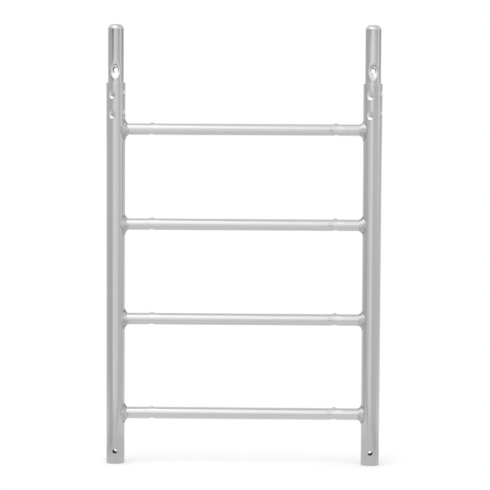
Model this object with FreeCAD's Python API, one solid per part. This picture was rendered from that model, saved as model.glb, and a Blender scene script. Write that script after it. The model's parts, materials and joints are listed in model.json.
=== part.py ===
import FreeCAD, Part
import math
import os
from FreeCAD import Vector

# Scaffold tower frame: two uprights, a spigot crimped into the head of each, four rungs, and
# the fillet welds that hold the rungs. Millimetres. +Z is up, X runs from upright to upright
# and -Y is the front. The origin lies midway between the uprights, level with their feet.

# Frame
upright_spacing = 675.0     # between the axes of the uprights
rung_count = 4
rung_pitch = 250.0
first_rung_height = 134.0   # from the feet to the axis of the lowest rung
head_height = 122.0         # from the axis of the top rung to the top of the upright

# Uprights
upright_diameter = 48.3
upright_wall = 3.2
foot_chamfer = 1.2
mouth_chamfer = 0.5         # inside the foot
head_chamfer = 1.0
head_swell = 0.8            # growth of the radius where the head takes the spigot
swell_start = 200.0         # below the top of the upright
swell_end = 95.0            # below the top of the upright

# Crimps that hold the spigot, pressed by round-nosed punches
crimp_columns = 4
crimp_rows = 2
crimp_top_row = 32.0        # below the top of the upright
crimp_row_pitch = 51.5
crimp_depth = 3.0
crimp_punch_radius = 18.0
crimp_rim_radius = 4.0
crimp_turn = -20.0          # degrees from the front to the first column
crimp_fit = 0.05            # between the two dented walls

# Spigots
spigot_wall = 3.0
spigot_projection = 154.0   # above the top of the upright
spigot_insert = 112.0       # below the top of the upright
spigot_clearance = 0.45     # radial, in the foot of the frame stacked above
seat_clearance = 0.25       # radial, in the swelled head
seat_taper_length = 6.0     # from the seat up to the free part, ending at the top of the upright
spigot_chamfer = 1.0
nose_radius = 15.0
nose_opening = 24.0         # diameter of the spigot's open end

# Locking-pin holes, which line up when one frame stands on another
pin_hole_diameter = 13.0
pin_hole_height = 33.0      # above the foot, and above the top of the upright
funnel_diameter = 42.0      # at the front of the spigot
funnel_depth = 6.5          # from the front of the spigot to the edge of the hole
funnel_rim_radius = 6.0

# Rungs
rung_diameter = 31.0
rung_wall = 2.0
stop_offset = 96.0          # from the axis of the upright to the stop
stop_height = 3.0
stop_radius = 5.5
stop_blend = 2.0
press_depth = 1.7           # of the flat pressed under each stop
press_radius = 32.0

# Welds
weld_leg = 9.0

upright_radius = upright_diameter / 2
bore_radius = upright_radius - upright_wall
head_radius = upright_radius + head_swell
head_bore_radius = bore_radius + head_swell
spigot_radius = bore_radius - spigot_clearance
seat_radius = head_bore_radius - seat_clearance
rung_radius = rung_diameter / 2
pin_hole_radius = pin_hole_diameter / 2
rung_heights = [first_rung_height + i * rung_pitch for i in range(rung_count)]
upright_length = rung_heights[-1] + head_height
sides = {"left": -upright_spacing / 2, "right": upright_spacing / 2}
overrun = 5.0               # by which a cutting tool passes the face it cuts
up = Vector(0, 0, 1)
front = Vector(0, -1, 0)


def point(radius, height):
    """A point of a turned profile."""
    return Vector(radius, 0, height)


def straight(points):
    """The edges of a profile that runs straight from point to point."""
    return [Part.LineSegment(a, b).toShape() for a, b in zip(points, points[1:])]


def turned(edges):
    """The solid that a closed profile makes when it is turned about Z."""
    return Part.Face(Part.Wire(edges)).revolve(Vector(), up, 360)


def moved(shape, x, turn=0.0):
    """The shape turned about Z by some degrees and then carried along X."""
    shape.rotate(Vector(), up, turn)
    shape.translate(Vector(x, 0, 0))
    return shape


def ball(radius, centre, facing):
    """A sphere with the seam of its surface on the side away from the one that is used."""
    sphere = Part.makeSphere(radius)
    sphere.Placement = FreeCAD.Placement(centre, FreeCAD.Rotation(Vector(-1, 0, 0), facing))
    return sphere


def edges_of(shape, surface):
    """The edges that bound a solid's faces of one kind of surface, each once."""
    found = []
    for face in shape.Faces:
        if isinstance(face.Surface, surface):
            found += [e for e in face.OuterWire.Edges if not any(e.isSame(f) for f in found)]
    return found


def upright_outside():
    """The upright's outer form, with its head swelled and no crimps yet."""
    profile = [
        point(0, 0),
        point(upright_radius - foot_chamfer, 0),
        point(upright_radius, foot_chamfer),
        point(upright_radius, upright_length - swell_start),
        point(head_radius, upright_length - swell_end),
        point(head_radius, upright_length - head_chamfer),
        point(head_radius - head_chamfer, upright_length),
        point(0, upright_length),
        point(0, 0),
    ]
    return turned(straight(profile))


def upright_bore():
    """The space inside the upright, run out past both of its ends."""
    top = upright_length + overrun
    profile = [
        point(0, -overrun),
        point(bore_radius + mouth_chamfer + overrun, -overrun),
        point(bore_radius, mouth_chamfer),
        point(bore_radius, upright_length - swell_start),
        point(head_bore_radius, upright_length - swell_end),
        point(head_bore_radius, top),
        point(0, top),
        point(0, -overrun),
    ]
    return turned(straight(profile))


def crimp_punches(growth):
    """The noses of all the crimping punches, grown by the thickness of the walls they have pressed."""
    reach = head_radius - crimp_depth + crimp_punch_radius
    punches = []
    for row in range(crimp_rows):
        height = upright_length - crimp_top_row - row * crimp_row_pitch
        for column in range(crimp_columns):
            azimuth = math.radians(crimp_turn + column * 360 / crimp_columns)
            outward = Vector(math.sin(azimuth), -math.cos(azimuth), 0)
            centre = outward * reach + up * height
            punches.append(ball(crimp_punch_radius + growth, centre, -outward))
    return punches


def cross_hole(height):
    """The drill for a locking-pin hole, from front to back through a tube on the Z axis."""
    reach = head_radius + overrun
    start = Vector(0, -reach, height)
    return Part.makeCylinder(pin_hole_radius, 2 * reach, start, -front)


def make_upright():
    """An upright on the Z axis. The seam of its surface lies between two columns of crimps."""
    outside = upright_outside()
    outside.rotate(Vector(), up, crimp_turn - 90 + 180 / crimp_columns)
    outside = outside.cut(crimp_punches(0))
    outside = outside.makeFillet(crimp_rim_radius, edges_of(outside, Part.Sphere))
    bore = upright_bore().cut(crimp_punches(upright_wall))
    return outside.cut([bore, cross_hole(pin_hole_height)])


def spigot_form(inset, foot):
    """The spigot's turned form from its foot's points to a closed nose, drawn in all over by inset."""
    bend = nose_radius - inset
    bend_centre = point(spigot_radius - nose_radius, upright_length + spigot_projection - nose_radius)

    def on_nose(degrees):
        angle = math.radians(degrees)
        return bend_centre + point(bend * math.cos(angle), bend * math.sin(angle))

    flank = foot + [
        point(seat_radius - inset, upright_length - seat_taper_length),
        point(spigot_radius - inset, upright_length),
        on_nose(0),
    ]
    nose = Part.Arc(on_nose(0), on_nose(45), on_nose(90)).toShape()
    end = [on_nose(90), point(0, on_nose(90).z), foot[0]]
    return turned(straight(flank) + [nose] + straight(end))


def funnels(growth):
    """The cones pressed into the front and the back round the pin hole, grown by a wall."""
    slope = (funnel_diameter / 2 - pin_hole_radius) / funnel_depth
    mouth = funnel_diameter / 2 + growth * math.hypot(1, slope)
    tip = pin_hole_radius / 2
    height = upright_length + pin_hole_height
    cones = []
    for outward in (front, -front):
        start = outward * (spigot_radius + overrun) + up * height
        length = overrun + (mouth - tip) / slope
        cones.append(Part.makeCone(mouth + overrun * slope, tip, length, start, -outward))
    return cones


def make_spigot():
    """A spigot on the Z axis, dented under the crimps of the head that holds it."""
    bottom = upright_length - spigot_insert
    foot = [
        point(0, bottom),
        point(seat_radius - spigot_chamfer, bottom),
        point(seat_radius, bottom + spigot_chamfer),
    ]
    outside = spigot_form(0, foot).cut(funnels(0))
    rims = [e for e in edges_of(outside, Part.Cone) if isinstance(e.Curve, Part.BSplineCurve)]
    outside = outside.makeFillet(funnel_rim_radius, rims)
    outside = outside.cut(crimp_punches(upright_wall + crimp_fit))
    below = bottom - overrun
    inside = spigot_form(spigot_wall, [point(0, below), point(seat_radius - spigot_wall, below)])
    inside = inside.cut(funnels(spigot_wall) + crimp_punches(upright_wall + crimp_fit + spigot_wall))
    nose = upright_length + spigot_projection - nose_radius
    opening = Part.makeCylinder(nose_opening / 2, nose_radius + overrun, Vector(0, 0, nose))
    return outside.cut([inside, opening, cross_hole(upright_length + pin_hole_height)])


def rung_bar(radius, height, reach):
    """A round bar along X at a rung's height, with the seam of its surface at the back."""
    bar = Part.makeCylinder(radius, 2 * reach, Vector(-reach, 0, height), Vector(1, 0, 0))
    bar.rotate(Vector(0, 0, height), Vector(1, 0, 0), -90)
    return bar


def stop_tools(inset, height):
    """For each stop of a rung, the pip raised on top and the bar that presses the flat below."""
    pips = []
    presses = []
    reach = upright_spacing / 2 - stop_offset
    for x in (-reach, reach):
        pip_height = height + rung_radius + stop_height - stop_radius
        pips.append(ball(stop_radius - inset, Vector(x, 0, pip_height), up))
        press_height = height - rung_radius + press_depth - press_radius
        start = Vector(x, -rung_diameter, press_height)
        presses.append(Part.makeCylinder(press_radius + inset, 2 * rung_diameter, start, -front))
    return pips, presses


def make_rung(height, uprights):
    """A rung tube coped to the outsides of both uprights."""
    half = upright_spacing / 2
    pips, presses = stop_tools(0, height)
    outside = rung_bar(rung_radius, height, half).fuse(pips)
    outside = outside.makeFillet(stop_blend, edges_of(outside, Part.Sphere))
    outside = outside.cut(presses)
    pips, presses = stop_tools(rung_wall, height)
    inside = rung_bar(rung_radius - rung_wall, height, half).fuse(pips).cut(presses)
    return outside.cut([inside] + uprights)


def make_weld(height, upright):
    """The bead in the corner all round a rung's end, flat across from toe to toe."""
    reach = upright_spacing / 2
    bar = rung_bar(rung_radius, height, reach)
    size = 4 * upright_diameter
    corner = upright.BoundBox.Center + Vector(-size / 2, -size / 2, 0)
    corner.z = height - size / 2
    stretch = upright.common(Part.makeBox(size, size, size, corner))
    joined = stretch.fuse(bar)
    corners = [e for e in joined.Edges if isinstance(e.Curve, Part.BSplineCurve)]
    filled = joined.makeChamfer(weld_leg, corners)
    return filled.cut([stretch, bar])


def build():
    """Every piece of the frame, by the name of its node."""
    pieces = {}
    outsides = {}
    for side, x in sides.items():
        pieces[f"upright_{side}"] = moved(make_upright(), x)
        pieces[f"spigot_{side}"] = moved(make_spigot(), x)
        away = 180 if x < 0 else 0
        outsides[side] = moved(upright_outside(), x, away)
    for number, height in enumerate(rung_heights, start=1):
        pieces[f"rung_{number}"] = make_rung(height, list(outsides.values()))
        for side, outside in outsides.items():
            pieces[f"weld_{number}_{side}"] = make_weld(height, outside)
    return pieces


os.makedirs("parts", exist_ok=True)
for node, shape in build().items():
    solids = shape.Solids
    volume = sum(s.Volume for s in solids)
    print(node, len(solids), shape.isValid(), round(volume))
    shape.exportStep(f"parts/{node}.step")
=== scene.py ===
# %% [markdown]
# # A scaffold tower frame in plain aluminium
#
# This lesson dresses the frame of a scaffold tower: two uprights, four rungs welded between them,
# and a spigot crimped into the head of each upright, on which the next frame of the tower stands.
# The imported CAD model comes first. It stays where it is and is never changed. Each of its pieces is
# then modelled again as a smooth mesh in the same place, because the CAD mesh is made of loose flat
# triangles that a shiny tube would show.

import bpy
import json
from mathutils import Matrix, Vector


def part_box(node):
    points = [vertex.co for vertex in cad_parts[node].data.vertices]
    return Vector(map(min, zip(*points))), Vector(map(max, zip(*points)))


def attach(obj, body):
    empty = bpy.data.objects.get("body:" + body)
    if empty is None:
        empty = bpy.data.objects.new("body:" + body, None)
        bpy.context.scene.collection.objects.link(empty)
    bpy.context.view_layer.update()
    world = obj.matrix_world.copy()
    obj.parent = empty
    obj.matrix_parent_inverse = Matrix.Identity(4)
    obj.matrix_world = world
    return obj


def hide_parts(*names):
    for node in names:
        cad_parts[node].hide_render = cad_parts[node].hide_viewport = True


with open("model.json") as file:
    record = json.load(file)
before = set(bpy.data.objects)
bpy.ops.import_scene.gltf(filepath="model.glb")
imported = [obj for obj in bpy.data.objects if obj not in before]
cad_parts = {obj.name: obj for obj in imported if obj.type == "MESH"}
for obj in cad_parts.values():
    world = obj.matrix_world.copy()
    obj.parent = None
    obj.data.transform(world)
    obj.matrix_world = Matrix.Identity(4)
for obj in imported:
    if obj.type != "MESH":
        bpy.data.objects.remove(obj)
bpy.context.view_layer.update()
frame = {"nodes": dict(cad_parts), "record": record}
print("CAD nodes:", len(frame["nodes"]))

# %% [markdown]
# Every place comes from the frame: the axes of the uprights and the heights of the rungs from the
# boxes of the CAD nodes, and the radii of the bores, holes and spigots from the mounts in the record.
# What the record doesn't say, such as a wall's thickness, is a named value in millimetres, written
# where it is first needed.

# %% Places and sizes
import bpy
import json
import math
from mathutils import Matrix, Vector, noise

MM = 0.001
SIDES = ("left", "right")
RUNG_NUMBERS = (1, 2, 3, 4)
mounts = {mount["name"]: mount for mount in frame["record"]["mounts"]}


def mount_radius(name):
    """The radius of a bore or pin in the record, in metres."""
    return mounts[name]["dims"]["r_mm"] * MM


def mount_height(name):
    """The height of a mount above the feet, in metres."""
    return mounts[name]["pos_m"][2]


axis_x = {side: sum(corner.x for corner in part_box(f"upright_{side}")) / 2 for side in SIDES}
upright_low, upright_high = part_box("upright_left")
upright_top = upright_high.z
spigot_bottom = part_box("spigot_left")[0].z
bore_radius = mount_radius("foot_socket_left")
spigot_radius = mount_radius("spigot_left")
hole_radius = mount_radius("foot_pin_hole_left")
foot_hole_height = mount_height("foot_pin_hole_left")
spigot_hole_height = mount_height("spigot_pin_hole_left")
rung_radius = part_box("rung_1")[1].y
rung_heights = [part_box(f"rung_{number}")[0].z + rung_radius for number in RUNG_NUMBERS]

upright_wall = 3.2 * MM
upright_radius = bore_radius + upright_wall
head_radius = (upright_high.x - upright_low.x) / 2
head_swell = head_radius - upright_radius
swell_low = upright_top - 200 * MM
swell_high = upright_top - 95 * MM
print("uprights at", [round(x, 4) for x in axis_x.values()], "and rungs at", rung_heights)

# %% [markdown]
# The tubes are turned forms. A cylinder primitive has rows at its ends alone, and these tubes need
# close rows where something will be pressed into the wall or drilled through it. So a profile is
# drawn as on a lathe drawing, by one vertex that is extruded from point to point, with rows of its
# own choice on every straight run, and is then spun round its axis.

# %% Drawing and turning a profile
TINY = 0.03 * MM


def edit(obj):
    """Opens one mesh for editing, with nothing else selected."""
    if bpy.context.object and bpy.context.object.mode != "OBJECT":
        bpy.ops.object.mode_set(mode="OBJECT")
    bpy.ops.object.select_all(action="DESELECT")
    obj.select_set(True)
    bpy.context.view_layer.objects.active = obj
    bpy.ops.object.mode_set(mode="EDIT")
    bpy.ops.mesh.select_mode(type="VERT")


def rows(start, end, spacing):
    """Points (radius, place) from start up to end, evenly spaced, without the end itself."""
    count = max(1, round(math.dist(start, end) / spacing))
    return [tuple(a + (b - a) * i / count for a, b in zip(start, end)) for i in range(count)]


def bend(centre, radius, first, last, steps):
    """Points on an arc of a profile between two angles in degrees, both ends included."""
    angles = [math.radians(first + (last - first) * i / steps) for i in range(steps + 1)]
    return [(centre[0] + radius * math.cos(a), centre[1] + radius * math.sin(a)) for a in angles]


def turn(name, profile, steps, axis):
    """A closed form: the (radius, place along the axis) profile spun round X or Z."""
    along = Vector((0, 0, 1)) if axis == "Z" else Vector((1, 0, 0))
    out = Vector((1, 0, 0)) if axis == "Z" else Vector((0, 0, 1))
    points = [out * radius + along * place for radius, place in profile]
    bpy.ops.mesh.primitive_plane_add(enter_editmode=True)
    bpy.ops.mesh.select_mode(type="VERT")
    bpy.ops.mesh.select_all(action="SELECT")
    bpy.ops.mesh.merge(type="CENTER")
    bpy.ops.transform.translate(value=points[0])
    for start, end in zip(points, points[1:] + points[:1]):
        bpy.ops.mesh.extrude_vertices_move(TRANSFORM_OT_translate={"value": end - start})
    bpy.ops.mesh.select_all(action="SELECT")
    bpy.ops.mesh.remove_doubles(threshold=TINY)
    bpy.ops.mesh.spin(steps=steps, angle=math.tau, center=(0, 0, 0), axis=along)
    bpy.ops.mesh.select_all(action="SELECT")
    bpy.ops.mesh.remove_doubles(threshold=TINY)
    bpy.ops.mesh.normals_make_consistent(inside=False)
    bpy.ops.object.mode_set(mode="OBJECT")
    obj = bpy.context.object
    obj.name = obj.data.name = name
    return obj


# %% [markdown]
# Thin metal is pressed with punches. Proportional editing does the same to a mesh: the vertices
# under the punch move the whole way and their neighbours follow less and less. A brush could sculpt
# such marks too, but no two would come out alike. A mark that is longer than wide is pressed while
# the mesh is squeezed along Z, and is stretched back afterwards.

# %% Pressing
def pick(obj, test):
    """Opens a mesh for editing, with only those vertices selected that pass the test."""
    edit(obj)
    bpy.ops.mesh.select_all(action="DESELECT")
    bpy.ops.object.mode_set(mode="OBJECT")
    for vertex in obj.data.vertices:
        vertex.select = test(vertex.co)
    bpy.ops.object.mode_set(mode="EDIT")


def press(obj, test, push, reach, falloff="SMOOTH", stretch=1.0, height=0.0):
    """Pushes the vertices that pass the test. The mark reaches on across by reach, and up by more."""
    edit(obj)
    bpy.ops.mesh.select_all(action="SELECT")
    bpy.ops.transform.resize(value=(1, 1, 1 / stretch), center_override=(0, 0, height))
    pick(obj, test)
    bpy.ops.transform.translate(
        value=push,
        use_proportional_edit=True,
        proportional_edit_falloff=falloff,
        proportional_size=reach,
    )
    bpy.ops.mesh.select_all(action="SELECT")
    bpy.ops.transform.resize(value=(1, 1, stretch), center_override=(0, 0, height))
    bpy.ops.object.mode_set(mode="OBJECT")


# %% [markdown]
# Holes and coped ends are cut by a Boolean modifier. It can leave doubled points, so these are merged
# after every cut, and the faces are turned outwards again. The rims of a drilled hole are freed of
# their burr. A bevel along the cut would stumble over the small faces beside it, so the drill itself
# flares: each of its rings is carried to the depth of the wall there, and the cut is clean.

# %% Cutting and drilling
DOUBLED = 0.002 * MM
HOLE_STEPS = 72


def mend(obj):
    """Merges the doubled points that a cut leaves and turns every face outwards."""
    edit(obj)
    bpy.ops.mesh.select_all(action="SELECT")
    bpy.ops.mesh.remove_doubles(threshold=DOUBLED)
    bpy.ops.mesh.dissolve_degenerate(threshold=DOUBLED)
    bpy.ops.mesh.select_all(action="SELECT")
    bpy.ops.mesh.normals_make_consistent(inside=False)
    bpy.ops.object.mode_set(mode="OBJECT")


def cut(obj, tool):
    """Takes the tool's shape out of a piece and throws the tool away."""
    modifier = obj.modifiers.new("cut", "BOOLEAN")
    modifier.operation = "DIFFERENCE"
    modifier.solver = "EXACT"
    modifier.object = tool
    bpy.ops.object.select_all(action="DESELECT")
    bpy.context.view_layer.objects.active = obj
    bpy.ops.object.modifier_apply(modifier=modifier.name)
    bpy.data.objects.remove(tool)
    mend(obj)


def drill(obj, height, depth_at, lip):
    """A pin hole from front to back. The drill flares by the lip at the wall, which lies at depth_at."""
    deep = 50 * MM
    clear = deep + 20 * MM
    wide = hole_radius + 1.5 * lip
    end = [(hole_radius, deep - lip), (wide, deep + 0.5 * lip), (wide, clear), (0, clear)]
    start = [(radius, -place) for radius, place in end[::-1]]
    tool = turn("pin_drill", start + end, HOLE_STEPS, "Z")
    for vertex in tool.data.vertices:
        x, rise, place = vertex.co
        depth = abs(place) - deep + depth_at(x, rise)
        vertex.co = (x, -math.copysign(depth, place), height + rise)
    cut(obj, tool)


# %% [markdown]
# A finished tube is shaded smooth, apart from its real edges, which are found by their angle. What
# the frame has more than once is modelled once at the origin. Its copies get meshes of their own and
# carry their place inside them, so that their objects stay where the CAD nodes are.

# %% Smoothing and copying
def smooth(obj, degrees=40):
    """Smooth shading that breaks only at edges sharper than the angle."""
    bpy.ops.object.select_all(action="DESELECT")
    obj.select_set(True)
    bpy.context.view_layer.objects.active = obj
    bpy.ops.object.shade_smooth_by_angle(angle=math.radians(degrees))


def placed_copy(obj, name, offset):
    """A copy with a mesh of its own, moved inside that mesh so that its object stays at the origin."""
    bpy.ops.object.select_all(action="DESELECT")
    obj.select_set(True)
    bpy.context.view_layer.objects.active = obj
    bpy.ops.object.duplicate()
    copy = bpy.context.object
    copy.name = copy.data.name = name
    copy.location = offset
    bpy.ops.object.transform_apply(location=True, rotation=False, scale=False)
    return copy


# %% [markdown]
# ## Uprights
# An upright is a drawn tube, sawn off at both ends. Its head is swelled by a mandrel to take the
# spigot, and a punch then crimps the two walls together in two rows of four dents. The wall is one
# closed ring, outside up and inside down, with close rows round the pin hole and the crimps and a
# single row over the long plain stretch between them.

# %% Upright form
TURN_STEPS = 160
EDGE_STEPS = 4
edge_round = 1.0 * MM
mouth_round = 0.5 * MM
foot_zone = 16 * MM
crimp_zone = 112 * MM
foot_rows = (foot_hole_height - foot_zone, foot_hole_height + foot_zone)
crimp_low = upright_top - crimp_zone
one_row = 2000 * MM


def wall_radius(height, base):
    """The radius of a wall that follows the swell of the head."""
    rise = (height - swell_low) / (swell_high - swell_low)
    return base + head_swell * min(1.0, max(0.0, rise))


def run(base, heights, spacings):
    """Rows of a wall through these heights, with a spacing for each stretch."""
    points = []
    for start, end, spacing in zip(heights, heights[1:], spacings):
        ends = [(wall_radius(height, base), height) for height in (start, end)]
        points += rows(*ends, spacing)
    return points + [(wall_radius(heights[-1], base), heights[-1])]


outer_heights = [edge_round, foot_rows[0], foot_rows[1], swell_low, crimp_low, upright_top - edge_round]
outer_spacings = [20 * MM, 2 * MM, one_row, 30 * MM, 1.1 * MM]
inner_heights = [upright_top, crimp_low, swell_low, foot_rows[1], foot_rows[0], mouth_round]
inner_spacings = [3 * MM, 30 * MM, one_row, 2 * MM, 20 * MM]
upright_profile = (
    bend((upright_radius - edge_round, edge_round), edge_round, -90, 0, EDGE_STEPS)[:-1]
    + run(upright_radius, outer_heights, outer_spacings)
    + bend((head_radius - edge_round, upright_top - edge_round), edge_round, 0, 90, EDGE_STEPS)[1:]
    + run(bore_radius, inner_heights, inner_spacings)
    + [(bore_radius + mouth_round, 0)]
)
upright = turn("upright_form", upright_profile, TURN_STEPS, "Z")
print("upright rings:", len(upright_profile))

# %% [markdown]
# The four columns of crimps stand a quarter turn apart, turned a little from the front. Each dent is
# about 17 mm wide and 22 mm tall, the mark of a ball-nosed punch. An inverse-square falloff gives the
# round bottom of such a dent, and smoothing the wall afterwards gives it a soft rim. The spigot
# inside gets its dents from the same function, only shallower, as its wall lies deeper. The pin hole
# comes last, because a press next to a cut edge would tear it.

# %% Crimps
CRIMP_COLUMNS = 4
RIM_ROUNDS = 3
crimp_turn = math.radians(-20)
crimp_heights = [upright_top - 32 * MM, upright_top - 83.5 * MM]
crimp_stretch = 1.3
crimp_core = 1.2 * MM
crimp_depth, crimp_reach = 3.3 * MM, 8.0 * MM
plain_rim = 5 * MM
dent_bottom = 2.4 * MM
foot_hole_lip = 0.5 * MM


def crimp(obj, radius, depth, reach):
    """Presses all the crimps into a wall of the given radius."""
    for height in crimp_heights:
        for column in range(CRIMP_COLUMNS):
            azimuth = crimp_turn + column * math.tau / CRIMP_COLUMNS
            outward = Vector((math.sin(azimuth), -math.cos(azimuth), 0))
            centre = outward * radius + Vector((0, 0, height))
            press(
                obj,
                lambda place: (place - centre).length < crimp_core,
                outward * -depth,
                reach,
                "INVERSE_SQUARE",
                crimp_stretch,
                height,
            )


def soften(obj, test, rounds):
    """Smooths the vertices that pass the test, so that creases between them turn into soft rims."""
    pick(obj, test)
    bpy.ops.mesh.vertices_smooth(factor=0.5, repeat=rounds)
    bpy.ops.object.mode_set(mode="OBJECT")


def on_crimped_wall(place):
    """True for the outside of the head, but not for the bottoms of its dents."""
    high = crimp_low + plain_rim < place.z < upright_top - plain_rim
    return high and math.hypot(place.x, place.y) > head_radius - dent_bottom


def upright_wall_at(x, rise):
    """The depth of the upright's outside from its middle, which is the same at every rise."""
    return math.sqrt(upright_radius ** 2 - x * x)


crimp(upright, head_radius, crimp_depth, crimp_reach)
soften(upright, on_crimped_wall, RIM_ROUNDS)
drill(upright, foot_hole_height, upright_wall_at, foot_hole_lip)
smooth(upright)
uprights = []
for side in SIDES:
    piece = placed_copy(upright, f"{side}_upright", (axis_x[side], 0, 0))
    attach(piece, "root")
    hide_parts(f"upright_{side}")
    uprights.append(piece)
bpy.data.objects.remove(upright)
print("uprights:", [len(piece.data.polygons) for piece in uprights], "faces")

# %% [markdown]
# ## Spigots
# A spigot is a shorter tube that slides into the foot of the frame above. Its end is spun over to a
# round nose so that it finds the socket, and it is left open. Below the nose it is a plain tube, so
# the same lathe profile gives all of it: outside up, over the lip and down inside.

# %% Spigot form
SPIGOT_STEPS = 240
NOSE_STEPS = 12
spigot_rise = 154 * MM
spigot_wall = 3.0 * MM
seat_gap = 0.25 * MM
seat_radius = bore_radius + head_swell - seat_gap
seat_taper = 6 * MM
seat_depth, seat_reach = 3.0 * MM, 7.6 * MM
nose_radius = 15 * MM
nose_centre = (spigot_radius - nose_radius, upright_top + spigot_rise - nose_radius)
opening_radius = 12 * MM
lip_round = 0.6 * MM
funnel_low = upright_top
funnel_high = spigot_hole_height + 34 * MM
seat_row, plain_row = 3 * MM, 20 * MM
funnel_row_outside, funnel_row_inside = 0.4 * MM, 2.0 * MM


def nose_angle(radius):
    """The angle in degrees at which an arc of the nose meets the opening."""
    return math.degrees(math.acos((opening_radius + lip_round - nose_centre[0]) / radius))


def spigot_side(inset, funnel_row):
    """One wall of the spigot from its foot to its nose."""
    seat, free = seat_radius - inset, spigot_radius - inset
    arc = nose_radius - inset
    return (
        rows((seat, spigot_bottom), (seat, upright_top - seat_taper), seat_row)
        + rows((seat, upright_top - seat_taper), (free, funnel_low), seat_row)
        + rows((free, funnel_low), (free, funnel_high), funnel_row)
        + rows((free, funnel_high), (free, nose_centre[1]), plain_row)
        + bend(nose_centre, arc, 0, nose_angle(arc), NOSE_STEPS)
    )


outside = spigot_side(0, funnel_row_outside)
inside = spigot_side(spigot_wall, funnel_row_inside)
mouth = [(opening_radius, outside[-1][1] - lip_round), (opening_radius, inside[-1][1] + lip_round)]
spigot_profile = outside + mouth + inside[::-1]
spigot = turn("spigot_form", spigot_profile, SPIGOT_STEPS, "Z")
crimp(spigot, seat_radius, seat_depth, seat_reach)
print("spigot rings:", len(spigot_profile))

# %% [markdown]
# A funnel is pressed round the pin hole at the front and at the back, which guides the locking pin.
# A tube that is pressed in like this gives way in a lozenge: straight creases run from its two sides,
# level with the hole, to a point above and a point below. Over the hole it falls in more steeply,
# under a brow. Proportional editing only makes round marks, so here the push of every vertex is
# worked out from its place in the lozenge. That twists some faces, and a twisted face has no one
# plane to cut, so these are split into flat triangles before the hole is drilled.

# %% Funnels and pin hole
LOZENGE = 1.75
CREASE = 0.07
BROW = 0.15
TWIST = math.radians(0.05)
funnel_depth = 9.0 * MM
funnel_half_width = 14.5 * MM
funnel_rise, funnel_drop = 18.5 * MM, 23.0 * MM
brow_depth = 2.6 * MM
brow_half_width, brow_rise = 9.0 * MM, 16.0 * MM
pin_hole_lip = 0.4 * MM


def funnel_push(x, rise):
    """How far the wall gives way, from nothing at the crease to the whole depth at the hole."""
    across = abs(x) / funnel_half_width
    up = rise / funnel_rise if rise > 0 else -rise / funnel_drop
    far = (across ** LOZENGE + up ** LOZENGE) ** (1 / LOZENGE)
    slope = CREASE * math.log1p(math.exp((1 - far) / CREASE))
    above = (rise / math.hypot(rise, x)) ** 2 if rise > 0 else 0.0
    ring = math.hypot(x / brow_half_width, rise / brow_rise)
    step = min(1.0, max(0.0, (1 - ring) / BROW))
    brow = brow_depth * above * step * step * (3 - 2 * step)
    return brow + (funnel_depth - brow_depth * above) * slope


def funnel_wall_at(x, rise):
    """The depth of the funnel's surface from the middle of the spigot."""
    return math.sqrt(spigot_radius ** 2 - x * x) - funnel_push(x, rise)


for vertex in spigot.data.vertices:
    place = vertex.co
    if place.z > upright_top:
        place.y -= math.copysign(funnel_push(place.x, place.z - spigot_hole_height), place.y)
edit(spigot)
bpy.ops.mesh.select_all(action="SELECT")
bpy.ops.mesh.vert_connect_nonplanar(angle_limit=TWIST)
bpy.ops.object.mode_set(mode="OBJECT")
drill(spigot, spigot_hole_height, funnel_wall_at, pin_hole_lip)
smooth(spigot)
spigots = []
for side in SIDES:
    piece = placed_copy(spigot, f"{side}_spigot", (axis_x[side], 0, 0))
    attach(piece, "root")
    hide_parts(f"spigot_{side}")
    spigots.append(piece)
bpy.data.objects.remove(spigot)
print("spigots:", [len(piece.data.polygons) for piece in spigots], "faces")

# %% [markdown]
# ## Rungs
# A rung is a thinner tube, turned like the others but round X. Near each end it has a stop, which
# keeps the hooks of a platform from sliding against the upright, so its rows are close there and far
# apart elsewhere. It is drawn too long at first, as a tube is before it is cut to fit.

# %% Rung form
RUNG_STEPS = 120
INNER_ROW_SCALE = 4
rung_wall = 2.0 * MM
stop_place = axis_x["right"] - 96 * MM
stop_zone = 24 * MM
rung_end = axis_x["right"] - bore_radius
stations = [-rung_end, -stop_place - stop_zone, -stop_place + stop_zone]
stations += [-station for station in stations[::-1]]
gaps = [40 * MM, 1.2 * MM, 60 * MM, 1.2 * MM, 40 * MM]


def rung_side(radius, scale):
    """One wall of the rung, with close rows at its stops."""
    points = []
    for start, end, spacing in zip(stations, stations[1:], gaps):
        points += rows((radius, start), (radius, end), spacing * scale)
    return points + [(radius, rung_end)]


rung_profile = rung_side(rung_radius, 1) + rung_side(rung_radius - rung_wall, INNER_ROW_SCALE)[::-1]
rung = turn("rung_form", rung_profile, RUNG_STEPS, "X")
print("rung rings:", len(rung_profile))

# %% [markdown]
# One stroke of a tool makes a stop: it pinches the tube from the front and the back, raises a pip on
# top and leaves a flat below. Added balls and cut blocks would meet the tube in hard creases. Pressing
# lets the wall flow from mark to mark, as the metal does.

# %% Stops
pip_height, pip_core, pip_reach = 3.0 * MM, 1.6 * MM, 5.8 * MM
pinch_depth, pinch_core, pinch_reach = 1.1 * MM, 4 * MM, 20 * MM
pinch_rise = 3 * MM
flat_depth, flat_reach = 1.8 * MM, 11 * MM
flat_half_length = 1 * MM
flat_stretch = 1.7
flat_edge = -0.9 * rung_radius / flat_stretch  # on the squeezed mesh
for x in (-stop_place, stop_place):
    top = Vector((x, 0, rung_radius))
    press(rung, lambda place: (place - top).length < pip_core, (0, 0, pip_height), pip_reach)
    for face in (-1, 1):
        spot = Vector((x, face * rung_radius, pinch_rise))
        push = (0, -face * pinch_depth, 0)
        press(rung, lambda place: (place - spot).length < pinch_core, push, pinch_reach)
    press(
        rung,
        lambda place: abs(place.x - x) < flat_half_length and place.z < flat_edge,
        (0, 0, flat_depth / flat_stretch),
        flat_reach,
        "SMOOTH",
        flat_stretch,
    )
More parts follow.
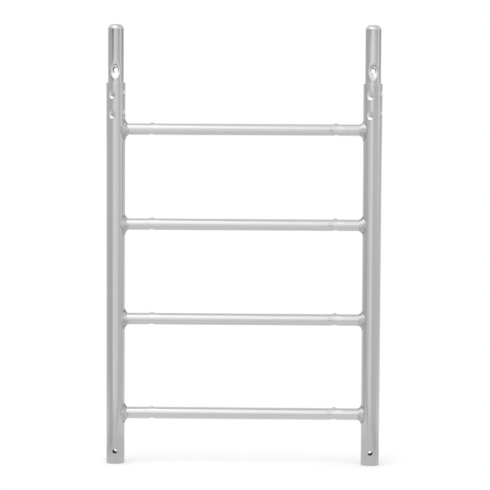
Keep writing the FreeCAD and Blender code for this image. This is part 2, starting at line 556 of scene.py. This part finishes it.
print("stops at", round(-stop_place, 4), "and", round(stop_place, 4))

# %% [markdown]
# The ends of a rung are coped to the round of the uprights, so that they fit close before they are
# welded. The cutter has the upright's own form. It is a piece of a cone, because the top rung meets
# the upright where the swell of the head begins.

# %% Coped ends and copies
cope_reach = 40 * MM
rungs = []
for number, height in zip(RUNG_NUMBERS, rung_heights):
    piece = placed_copy(rung, f"rung_{number}_tube", (0, 0, height))
    for side in SIDES:
        bpy.ops.object.select_all(action="DESELECT")
        bpy.ops.mesh.primitive_cone_add(
            vertices=TURN_STEPS,
            radius1=wall_radius(height - cope_reach, upright_radius),
            radius2=wall_radius(height + cope_reach, upright_radius),
            depth=2 * cope_reach,
            location=(axis_x[side], 0, height),
        )
        cut(piece, bpy.context.object)
    smooth(piece)
    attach(piece, "root")
    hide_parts(f"rung_{number}")
    rungs.append(piece)
bpy.data.objects.remove(rung)
print("rungs:", [len(piece.data.polygons) for piece in rungs], "faces")

# %% [markdown]
# ## Welds
# A weld fills the corner where a round rung meets a round upright. That corner is a saddle, which no
# primitive has, so each bead starts as a torus whose vertices are carried to places that are worked
# out: one toe lies along the rung, the other along the upright. The rung's toe runs out further on the
# front and the back, and the upright's above and below. The left beads are short and full, and the
# right ones are hollow and drawn out at the shoulder. No two are alike, so each wanders by its own seed.

# %% Toes of a bead
COARSE, FINE = 9, 40
FLANK, SHOULDER, POCKET = (103, 42), (55, 20), (118, 25)
SHOULDER_SHARE = 0.5
rung_leg_least = {"left": 7.3 * MM, "right": 11.0 * MM}
rung_leg_most = 18.0 * MM
upright_leg_least, upright_leg_more = 7.3 * MM, 5.2 * MM
shoulder_trim = 4 * MM


def wander(around, seed, features):
    """Smooth chance between about -1 and 1, with so many features to a turn round the rung."""
    place = Vector((math.sin(around), math.cos(around), 0)) * features / math.tau
    return 1.6 * noise.noise(place + Vector((0, 0, seed * 3.7)))


def wavy(around, seed, coarse, fine):
    """A factor near 1 that wanders in broad and in narrow waves."""
    return 1 + coarse * wander(around, seed, COARSE) + fine * wander(around, seed + 40, FINE)


def swell(around, peak, spread):
    """1 at an angle in degrees from the top of the rung, and falling off to both sides of it."""
    return math.exp(-(((math.degrees(math.acos(math.cos(around))) - peak) / spread) ** 2))


def drawn_out(around, side):
    """How far the shoulder of a bead is drawn out, which only the right ones are."""
    return swell(around, *SHOULDER) if side == "right" else 0.0


def bead_toes(around, radius, side, seed):
    """The rung's toe, the corner and the upright's toe of a bead, at an angle round the rung."""
    high = math.cos(around)
    shoulder = drawn_out(around, side)
    longer = max(swell(around, *FLANK), shoulder * SHOULDER_SHARE)
    rung_leg = rung_leg_least[side] + (rung_leg_most - rung_leg_least[side]) * longer
    rung_leg *= wavy(around, seed, 0.08, 0.05)
    upright_leg = upright_leg_least + upright_leg_more * (1 - 0.2 * high) * high ** 2
    upright_leg -= shoulder_trim * shoulder
    upright_leg *= wavy(around, seed + 80, 0.10, 0.06)
    angle = math.asin(rung_radius * math.sin(around) / radius)
    corner = Vector((radius * math.cos(angle), radius * math.sin(angle), rung_radius * high))
    slope = Vector((corner.y, corner.z / math.cos(angle))).normalized() * upright_leg
    swing = angle + slope.x / radius
    upright_toe = Vector((radius * math.cos(swing), radius * math.sin(swing), corner.z + slope.y))
    return corner + Vector((rung_leg, 0, 0)), corner, upright_toe


# %% [markdown]
# The face between the toes carries the crescent ripples that the welder's torch leaves, and lumps.
# The arc leaves soot along the toes, and painted shade darkens the bead above and below the rung, in a
# pocket of the right beads and in the hollows between the lumps. A texture wouldn't know where those
# are, so the soot and painted shade are worked out with the shape and kept on the vertices as an
# attribute for the material to read.

# %% Face of a bead
FACE_SHARE = 0.75
RIPPLE_BOW, RIPPLE_DRIFT = 1.1, 0.8
hollow = {"left": 0.45, "right": 0.85}
toe_sink = 0.2 * MM
root_sink = 1.0 * MM
ripple_pitch = 3.6 * MM
ripple_height = {"left": 0.16 * MM, "right": 0.08 * MM}
lump_size = 4.5 * MM
lump_height = {"left": 0.70 * MM, "right": 0.25 * MM}


def soot_and_shade_share(around, part, lumps, side):
    """How much soot and painted shade lies on a bead's face, part of the way from the rung's toe to the
    upright's.
    """
    high = math.cos(around)
    above, below = max(0.0, high) ** 6, max(0.0, -high) ** 4
    pocket = swell(around, *POCKET) if side == "right" else 0.0
    toes = (1 - 4 * part * (1 - part)) ** 3
    # Painted shade above and below the rung, in the pocket and in the hollows between lumps; soot and
    # painted shade at the toes.
    share = above * (0.3 + 0.5 * part) + below * (0.1 + 0.5 * part) + pocket * part * 0.4
    share = share * (1 - 1.2 * lumps) + 0.5 * max(0.0, -lumps) + 0.3 * toes
    return min(1.0, max(0.0, share))


def bead_point(around, along, radius, side, seed):
    """A point of a bead, around the rung and along its section from the rung's toe, and its soot and
    painted shade.
    """
    rung_toe, corner, upright_toe = bead_toes(around, radius, side, seed)
    middle = (rung_toe + upright_toe) / 2
    out = (middle - corner).normalized()
    if along > FACE_SHARE:
        back = (along - FACE_SHARE) / (1 - FACE_SHARE)
        ends = (upright_toe, corner) if back < 0.5 else (corner, rung_toe)
        depth = root_sink * math.sin(math.pi * back) + toe_sink
        return ends[0].lerp(ends[1], back * 2 % 1.0) - out * depth, 0.0
    part = along / FACE_SHARE
    arch = 4 * part * (1 - part)
    drawn_in = middle.lerp(corner, hollow[side] * (1 - drawn_out(around, side)))
    face = rung_toe.lerp(drawn_in, part).lerp(drawn_in.lerp(upright_toe, part), part)
    travel = around * rung_radius / ripple_pitch + RIPPLE_BOW * (2 * part - 1) ** 2
    travel += RIPPLE_DRIFT * wander(around, seed, COARSE)
    lumps = noise.noise(face / lump_size + Vector((0, 0, seed * 5.3)))
    relief = ripple_height[side] * math.sin(math.tau * travel) + lump_height[side] * lumps
    place = face + out * (math.sqrt(arch) * relief - toe_sink * (1 - arch))
    return place, soot_and_shade_share(around, part, lumps, side)


# %% [markdown]
# A torus numbers its vertices section by section. So a vertex's number tells how far round the rung
# and how far along the section it belongs, and the bead stays one closed skin.

# %% Weld beads
BEAD_STEPS = 264
SECTION_STEPS = 32
BEAD_EDGE = 60
welds = {side: [] for side in SIDES}
for number, height in zip(RUNG_NUMBERS, rung_heights):
    for side in SIDES:
        bpy.ops.object.select_all(action="DESELECT")
        bpy.ops.mesh.primitive_torus_add(major_segments=BEAD_STEPS, minor_segments=SECTION_STEPS)
        piece = bpy.context.object
        piece.name = piece.data.name = f"{side}_weld_{number}"
        facing = 1 if side == "left" else -1
        radius = wall_radius(height, upright_radius)
        # Each vertex keeps its share of soot and painted shade.
        film = piece.data.attributes.new("smut", "FLOAT", "POINT")
        for index, vertex in enumerate(piece.data.vertices):
            around = math.tau * (index // SECTION_STEPS) / BEAD_STEPS
            along = (index % SECTION_STEPS) / SECTION_STEPS
            place, film.data[index].value = bead_point(around, along, radius, side, 2 * number + facing)
            vertex.co = (axis_x[side] + facing * place.x, place.y, height + place.z)
        edit(piece)
        bpy.ops.mesh.select_all(action="SELECT")
        bpy.ops.mesh.normals_make_consistent(inside=False)
        bpy.ops.object.mode_set(mode="OBJECT")
        smooth(piece, BEAD_EDGE)
        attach(piece, "root")
        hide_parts(f"weld_{number}_{side}")
        welds[side].append(piece)
print("welds:", {side: [len(piece.data.polygons) for piece in welds[side]] for side in SIDES}, "faces")

# %% [markdown]
# ## Shader arithmetic
# A shader is easier to read as a formula than as wires. This small class wraps a node's output, so
# that sums and products of outputs make the Math nodes, and one method makes any other node.

# %% Sockets that can be added and multiplied
class Socket:
    """The output of a node, which takes part in sums like a number."""

    def __init__(self, tree, out=None):
        self.tree = tree
        self.out = out

    def node(self, kind, inputs, output=0, **settings):
        """A new node with these settings and inputs, and the output of it that is wanted."""
        made = self.tree.nodes.new(kind)
        for name, value in settings.items():
            setattr(made, name, value)
        for name, value in inputs.items():
            if isinstance(value, Socket):
                self.tree.links.new(value.out, made.inputs[name])
            else:
                made.inputs[name].default_value = value
        return Socket(self.tree, made.outputs[output])

    def maths(self, operation, first, second=0.0):
        """A Math node on one or two values."""
        return self.node("ShaderNodeMath", {0: first, 1: second}, operation=operation)

    def __add__(self, other):
        return self.maths("ADD", self, other)

    def __sub__(self, other):
        return self.maths("SUBTRACT", self, other)

    def __mul__(self, other):
        return self.maths("MULTIPLY", self, other)

    def __rsub__(self, other):
        return self.maths("SUBTRACT", other, self)

    __radd__ = __add__
    __rmul__ = __mul__

    def step(self, start, end):
        """0 before start and 1 after end, with a soft rise between."""
        return self.node(
            "ShaderNodeMapRange",
            {"Value": self, "From Min": start, "From Max": end},
            interpolation_type="SMOOTHSTEP",
        )

    def window(self, start, end, soft):
        """1 between start and end and 0 outside, with soft sides."""
        return self.step(start - soft, start + soft) - self.step(end - soft, end + soft)


# %% [markdown]
# ## Metal
# The tubes are left as they came from the mill: neither painted nor polished. Such aluminium is a
# soft mirror with faint lines along the tube, where the die dragged on it, and patches that are a
# little duller than others. The lines are noise that is stretched along the tube, on the piece's
# Object coordinates, because an unwrapped pattern would need a seam. A mask on top may make a finish
# darker and rougher: at the feet of the uprights wear roughens it and painted shade darkens it towards
# the floor, and on the welds soot lies along the toes and painted shade lies about the rung.

# %% Mill finish
LINE_SCALE, LINE_DETAIL, LINE_SHADE = 900.0, 3.0, 0.06
PATCH_DETAIL = 4.0


def grey(tree, value):
    """A grey colour from one value."""
    return tree.node("ShaderNodeCombineColor", {0: value, 1: value, 2: value})


def metal(
    name, pieces, shade, roughness, grain, relief, blotch, mottle, film=None, darker=0.0, rougher=0.0,
):
    """A mill-finish aluminium for these pieces, with lines along the grain, darker under soot and painted
    shade, and rougher.
    """
    material = bpy.data.materials.new(name)
    material.use_nodes = True
    material.node_tree.nodes.clear()
    tree = Socket(material.node_tree)
    place = tree.node("ShaderNodeTexCoord", {}, "Object")
    stretched = tree.node("ShaderNodeVectorMath", {0: place, 1: grain}, operation="MULTIPLY")
    drawn = {"Vector": stretched, "Scale": LINE_SCALE, "Detail": LINE_DETAIL}
    lines = tree.node("ShaderNodeTexNoise", drawn) - 0.5
    dulled = {"Vector": place, "Scale": 1 / blotch, "Detail": PATCH_DETAIL}
    patches = tree.node("ShaderNodeTexNoise", dulled) - 0.5
    colour = shade + lines * LINE_SHADE + patches * mottle
    rough = roughness + lines * LINE_SHADE + patches * (0.5 * mottle)
    # Where the mask lies, soot and painted shade darken the colour and the finish is roughened.
    if film:
        share = film(tree, place)
        colour = colour - share * darker
        rough = rough + share * rougher
    bump = tree.node("ShaderNodeBump", {"Height": lines, "Distance": relief, "Strength": 1.0})
    surface = tree.node(
        "ShaderNodeBsdfPrincipled",
        {"Base Color": grey(tree, colour), "Metallic": 1.0, "Roughness": rough, "Normal": bump},
    )
    end = material.node_tree.nodes.new("ShaderNodeOutputMaterial")
    material.node_tree.links.new(surface.out, end.inputs["Surface"])
    for piece in pieces:
        piece.data.materials.clear()
        piece.data.materials.append(material)


# %% [markdown]
# Apart from the feet, which are worn rougher and carry painted shade, the three tubes differ only in
# grain
# and roughness: a spigot is rubbed the smoothest by the sockets that slide over it. The weld metal is
# greyer and has no grain. The left beads came out rough and mottled and the right ones neat, so they are
# two finishes.

# %% Materials
# The feet of the uprights are worn rougher and darkened by painted shade towards the floor, up to these
# heights.
FOOT_WEAR_SHADE_END, FOOT_WEAR_SHADE_START = 0.045, 0.13
along_z, along_x, all_ways = (1, 1, 0.004), (0.004, 1, 1), (1, 1, 1)


def scuffs_and_shade(tree, place):
    """1 at the foot of an upright, which is worn rougher and painted darker as shade, and 0 from a hand's
    breadth up.
    """
    height = tree.node("ShaderNodeSeparateXYZ", {"Vector": place}, "Z")
    return 1.0 - height.step(FOOT_WEAR_SHADE_END, FOOT_WEAR_SHADE_START)


def smut(tree, place):
    """Soot along the toes and painted shade about the rung and in the hollows, kept on the beads as an
    attribute.
    """
    return tree.node("ShaderNodeAttribute", {}, "Fac", attribute_name="smut")


tube = {"shade": 0.54, "relief": 0.01 * MM, "blotch": 26 * MM, "mottle": 0.03}
# At the feet, painted shade darkens the uprights by 0.09 and wear roughens them by 0.04.
scuffed_and_shaded = {"film": scuffs_and_shade, "darker": 0.09, "rougher": 0.04}
metal("upright_aluminium", uprights, roughness=0.15, grain=along_z, **tube, **scuffed_and_shaded)
metal("rung_aluminium", rungs, roughness=0.18, grain=along_x, **tube)
metal("spigot_aluminium", spigots, roughness=0.12, grain=along_z, **tube)
# The beads are darkened by their soot and painted shade, by 0.24 on the left and 0.28 on the right.
bead = {"grain": all_ways, "blotch": 6 * MM, "film": smut, "rougher": 0.12}
rough_bead = {"shade": 0.47, "roughness": 0.34, "relief": 0.12 * MM, "mottle": 0.50, "darker": 0.24}
neat_bead = {"shade": 0.49, "roughness": 0.25, "relief": 0.03 * MM, "mottle": 0.25, "darker": 0.28}
metal("rough_weld_aluminium", welds["left"], **bead, **rough_bead)
metal("neat_weld_aluminium", welds["right"], **bead, **neat_bead)
dressed = uprights + rungs + spigots + welds["left"] + welds["right"]
print("finishes:", sorted({piece.data.materials[0].name for piece in dressed}))

# %% [markdown]
# ## Camera
# The photograph was taken from about five metres with a long lens, a little to the right of the
# middle and somewhat above it. The numbers were found by fitting the projected feet, shoulders,
# rungs and spigots to the picture.

# %% Camera
camera_place = Vector((0.100, -4.9775, 0.8635))
camera_yaw, camera_pitch, camera_roll = (math.radians(angle) for angle in (1.106, -3.25, 0.3))
camera_lens, camera_sensor = 138.93, 36.0
camera_far = 100.0

bpy.ops.object.camera_add(location=camera_place)
camera = bpy.context.object
camera.data.lens = camera_lens
camera.data.sensor_width = camera_sensor
camera.data.clip_end = camera_far
aim = (
    Matrix.Rotation(camera_yaw, 4, "Z")
    @ Matrix.Rotation(math.pi / 2 + camera_pitch, 4, "X")
    @ Matrix.Rotation(camera_roll, 4, "Z")
)
camera.rotation_euler = aim.to_euler()
bpy.context.scene.camera = camera
print("camera distance:", round(camera_place.length, 3))

# %% [markdown]
# ## Light
# The picture has a pure white ground, and all the life of the metal is in what it mirrors. Real panels
# would have to stand all round the frame, so the studio is painted on the sky instead, by direction.
# The azimuth is 0 before the frame, and positive to the right. A tall bright panel stands a little to
# the left of the camera with a dark gap beside it, and a narrow strip of light to the right with a
# dark recess beside that. The camera itself sees plain white.

# %% Panels of the studio
world = bpy.data.worlds.new("studio")
bpy.context.scene.world = world
world.use_nodes = True
world.node_tree.nodes.clear()
sky = Socket(world.node_tree)
direction = sky.node("ShaderNodeTexCoord", {}, "Generated")
parts = {}
for index, name in enumerate("xyz"):
    parts[name] = sky.node("ShaderNodeSeparateXYZ", {"Vector": direction}, index)
azimuth = sky.maths("ARCTAN2", parts["x"], parts["y"] * -1.0) * math.degrees(1)
elevation = sky.maths("ARCSINE", parts["z"]) * math.degrees(1)
aside = sky.maths("ABSOLUTE", azimuth)
right = azimuth.step(-40.0, 5.0)
panel = azimuth.window(-26.0, -5.0, 6.0)
high_panel = azimuth.step(-31.0, -7.0) - azimuth.step(-5.0, 28.0)
gap = azimuth.window(-56.0, -29.0, 5.0)
strip = azimuth.window(66.0, 92.0, 6.0)
recess = azimuth.window(100.0, 130.0, 6.0)
rear = aside.window(155.0, 168.0, 5.0) * 0.34 - aside.step(166.0, 176.0) * 0.22
low_left = azimuth.window(-62.0, -28.0, 8.0)
low_right = azimuth.window(16.0, 66.0, 8.0)
front = azimuth.window(-40.0, 50.0, 15.0)
side_light = azimuth.window(-110.0, -30.0, 12.0) * elevation.step(22.0, 42.0)
print("nodes for directions and panels:", len(world.node_tree.nodes))

# %% [markdown]
# An upright is a round mirror, seen from nearly level. Its foot mirrors what lies ten degrees below
# the horizon and its head what lies just above it, so each small step in elevation paints one stretch
# of tube, and the walls stand in four bands. The rungs, which lie across, mirror everything from the
# ground to the ceiling, and the ceiling's bright front is their highlight.

# %% Bands of the studio
def mixed(first, second, share):
    """The first where the share is 0, the second where it is 1."""
    return first + (second - first) * share


below = 0.90 + aside.step(70.0, 110.0) * 0.26 - low_left * 0.13 - low_right * 0.13 - rear
deep_walls = mixed(0.65 + right * 0.16, 0.95, aside.step(95.0, 140.0)) + panel * 0.18
low_walls = mixed(0.77 + right * 0.11, 0.90, aside.step(125.0, 150.0)) + panel * 0.16
low_walls = low_walls + (strip * 0.28 - recess * 0.16 + gap * 0.10) * elevation.step(-3.0, 1.5)
high_walls = 0.66 + right * 0.02 - gap * 0.30 + strip * 0.34 - recess * 0.18
high_walls = high_walls + aside.step(125.0, 150.0) * 0.10 + high_panel * 0.30
ceiling = 0.98 + front * 0.36 + side_light * 0.42

walls = mixed(deep_walls, low_walls, elevation.step(-6.5, -1.5))
walls = mixed(walls, high_walls, elevation.step(1.5, 2.7)) - rear
walls = mixed(below, walls, elevation.step(-9.3, -7.6))
studio = mixed(walls, ceiling, elevation.step(8.0, 20.0))

seen = sky.node("ShaderNodeLightPath", {}, "Is Camera Ray")
glow = sky.node("ShaderNodeBackground", {"Color": grey(sky, mixed(studio, 1.0, seen)), "Strength": 1.0})
end = world.node_tree.nodes.new("ShaderNodeOutputWorld")
world.node_tree.links.new(glow.out, end.inputs["Surface"])
print("nodes in the sky:", len(world.node_tree.nodes))

# %% [markdown]
# Five real softboxes add what a sky can't: they stand so near that each piece mirrors them in a
# different place. A low one stands before the left half of the frame, with a narrower one on top of
# it, and the key light hangs above the left, so that the rungs fade towards the right. Two small ones
# with grids, which keep their light off the rest, brighten the right spigot.

# %% Softboxes
def softbox(name, place, size, tilt, brightness, spread=180):
    """A rectangle of light that mirrors with about this brightness, or less outside a grid's spread."""
    angles = [math.radians(angle) for angle in tilt]
    bpy.ops.object.light_add(type="AREA", location=place, rotation=angles)
    lamp = bpy.context.object
    lamp.name = lamp.data.name = name
    lamp.data.shape = "RECTANGLE"
    lamp.data.size, lamp.data.size_y = size
    lamp.data.energy = brightness * math.pi * size[0] * size[1]
    if spread < 180:
        half = math.radians(spread / 2)
        lamp.data.spread = 2 * half
        lamp.data.energy *= 1 - half / math.tan(half)


softbox("front_box", (-0.3325, -1.0, 0.56), (1.415, 1.12), (90, 0, 0), 0.20)
softbox("head_box", (-0.1875, -1.0, 1.235), (1.125, 0.23), (90, 0, 0), 0.15)
softbox("key_box", (-0.86, -1.4, 2.4), (1.9, 2.0), (0, 0, 25), 0.48)

grid_distance, grid_height = 0.4, 1.1125
grid_size, grid_spread = (0.46, 0.155), 68
for name, degrees, brightness in (("spigot_box", -36, 0.38), ("spigot_fill", 20, 0.25)):
    way = math.radians(degrees)
    place = (axis_x["right"] + grid_distance * math.sin(way), -grid_distance * math.cos(way), grid_height)
    softbox(name, place, grid_size, (90, 0, degrees), brightness, grid_spread)
print("softboxes:", len(bpy.data.lights))

# %% [markdown]
# ## Floor
# The floor is plain and pale. A floor lit like the frame would come out grey against the white ground,
# so the camera's rays get a little glow on top of the paint. It is kept so small that a faint shadow
# stays under the feet. Mirrored rays see one even white, so that the undersides of the rungs show the
# same ground.

# %% Floor
FLOOR_PAINT, FLOOR_GLOW, FLOOR_MIRRORED = 0.8, 0.14, 1.04
floor_size = 1.1
bpy.ops.mesh.primitive_plane_add(size=floor_size)
floor = bpy.context.object
floor.name = "floor"
paint = bpy.data.materials.new("floor_white")
paint.use_nodes = True
paint.node_tree.nodes.clear()
tree = Socket(paint.node_tree)
seen = tree.node("ShaderNodeLightPath", {}, "Is Camera Ray")
mirrored = tree.node("ShaderNodeLightPath", {}, "Is Glossy Ray")
matt = tree.node("ShaderNodeBsdfDiffuse", {"Color": (FLOOR_PAINT, FLOOR_PAINT, FLOOR_PAINT, 1.0)})
lift = tree.node("ShaderNodeEmission", {"Color": grey(tree, seen * FLOOR_GLOW), "Strength": 1.0})
ground = tree.node("ShaderNodeAddShader", {0: matt, 1: lift})
white = tree.node("ShaderNodeEmission", {"Color": (1.0, 1.0, 1.0, 1.0), "Strength": FLOOR_MIRRORED})
coat = tree.node("ShaderNodeMixShader", {0: mirrored, 1: ground, 2: white})
end = paint.node_tree.nodes.new("ShaderNodeOutputMaterial")
paint.node_tree.links.new(coat.out, end.inputs["Surface"])
floor.data.materials.append(paint)
print("floor:", floor_size, "m wide")

# %% [markdown]
# ## View
# The view transform is plain, so that a colour renders as it is written.

# %% View transform
bpy.context.scene.view_settings.view_transform = "Standard"
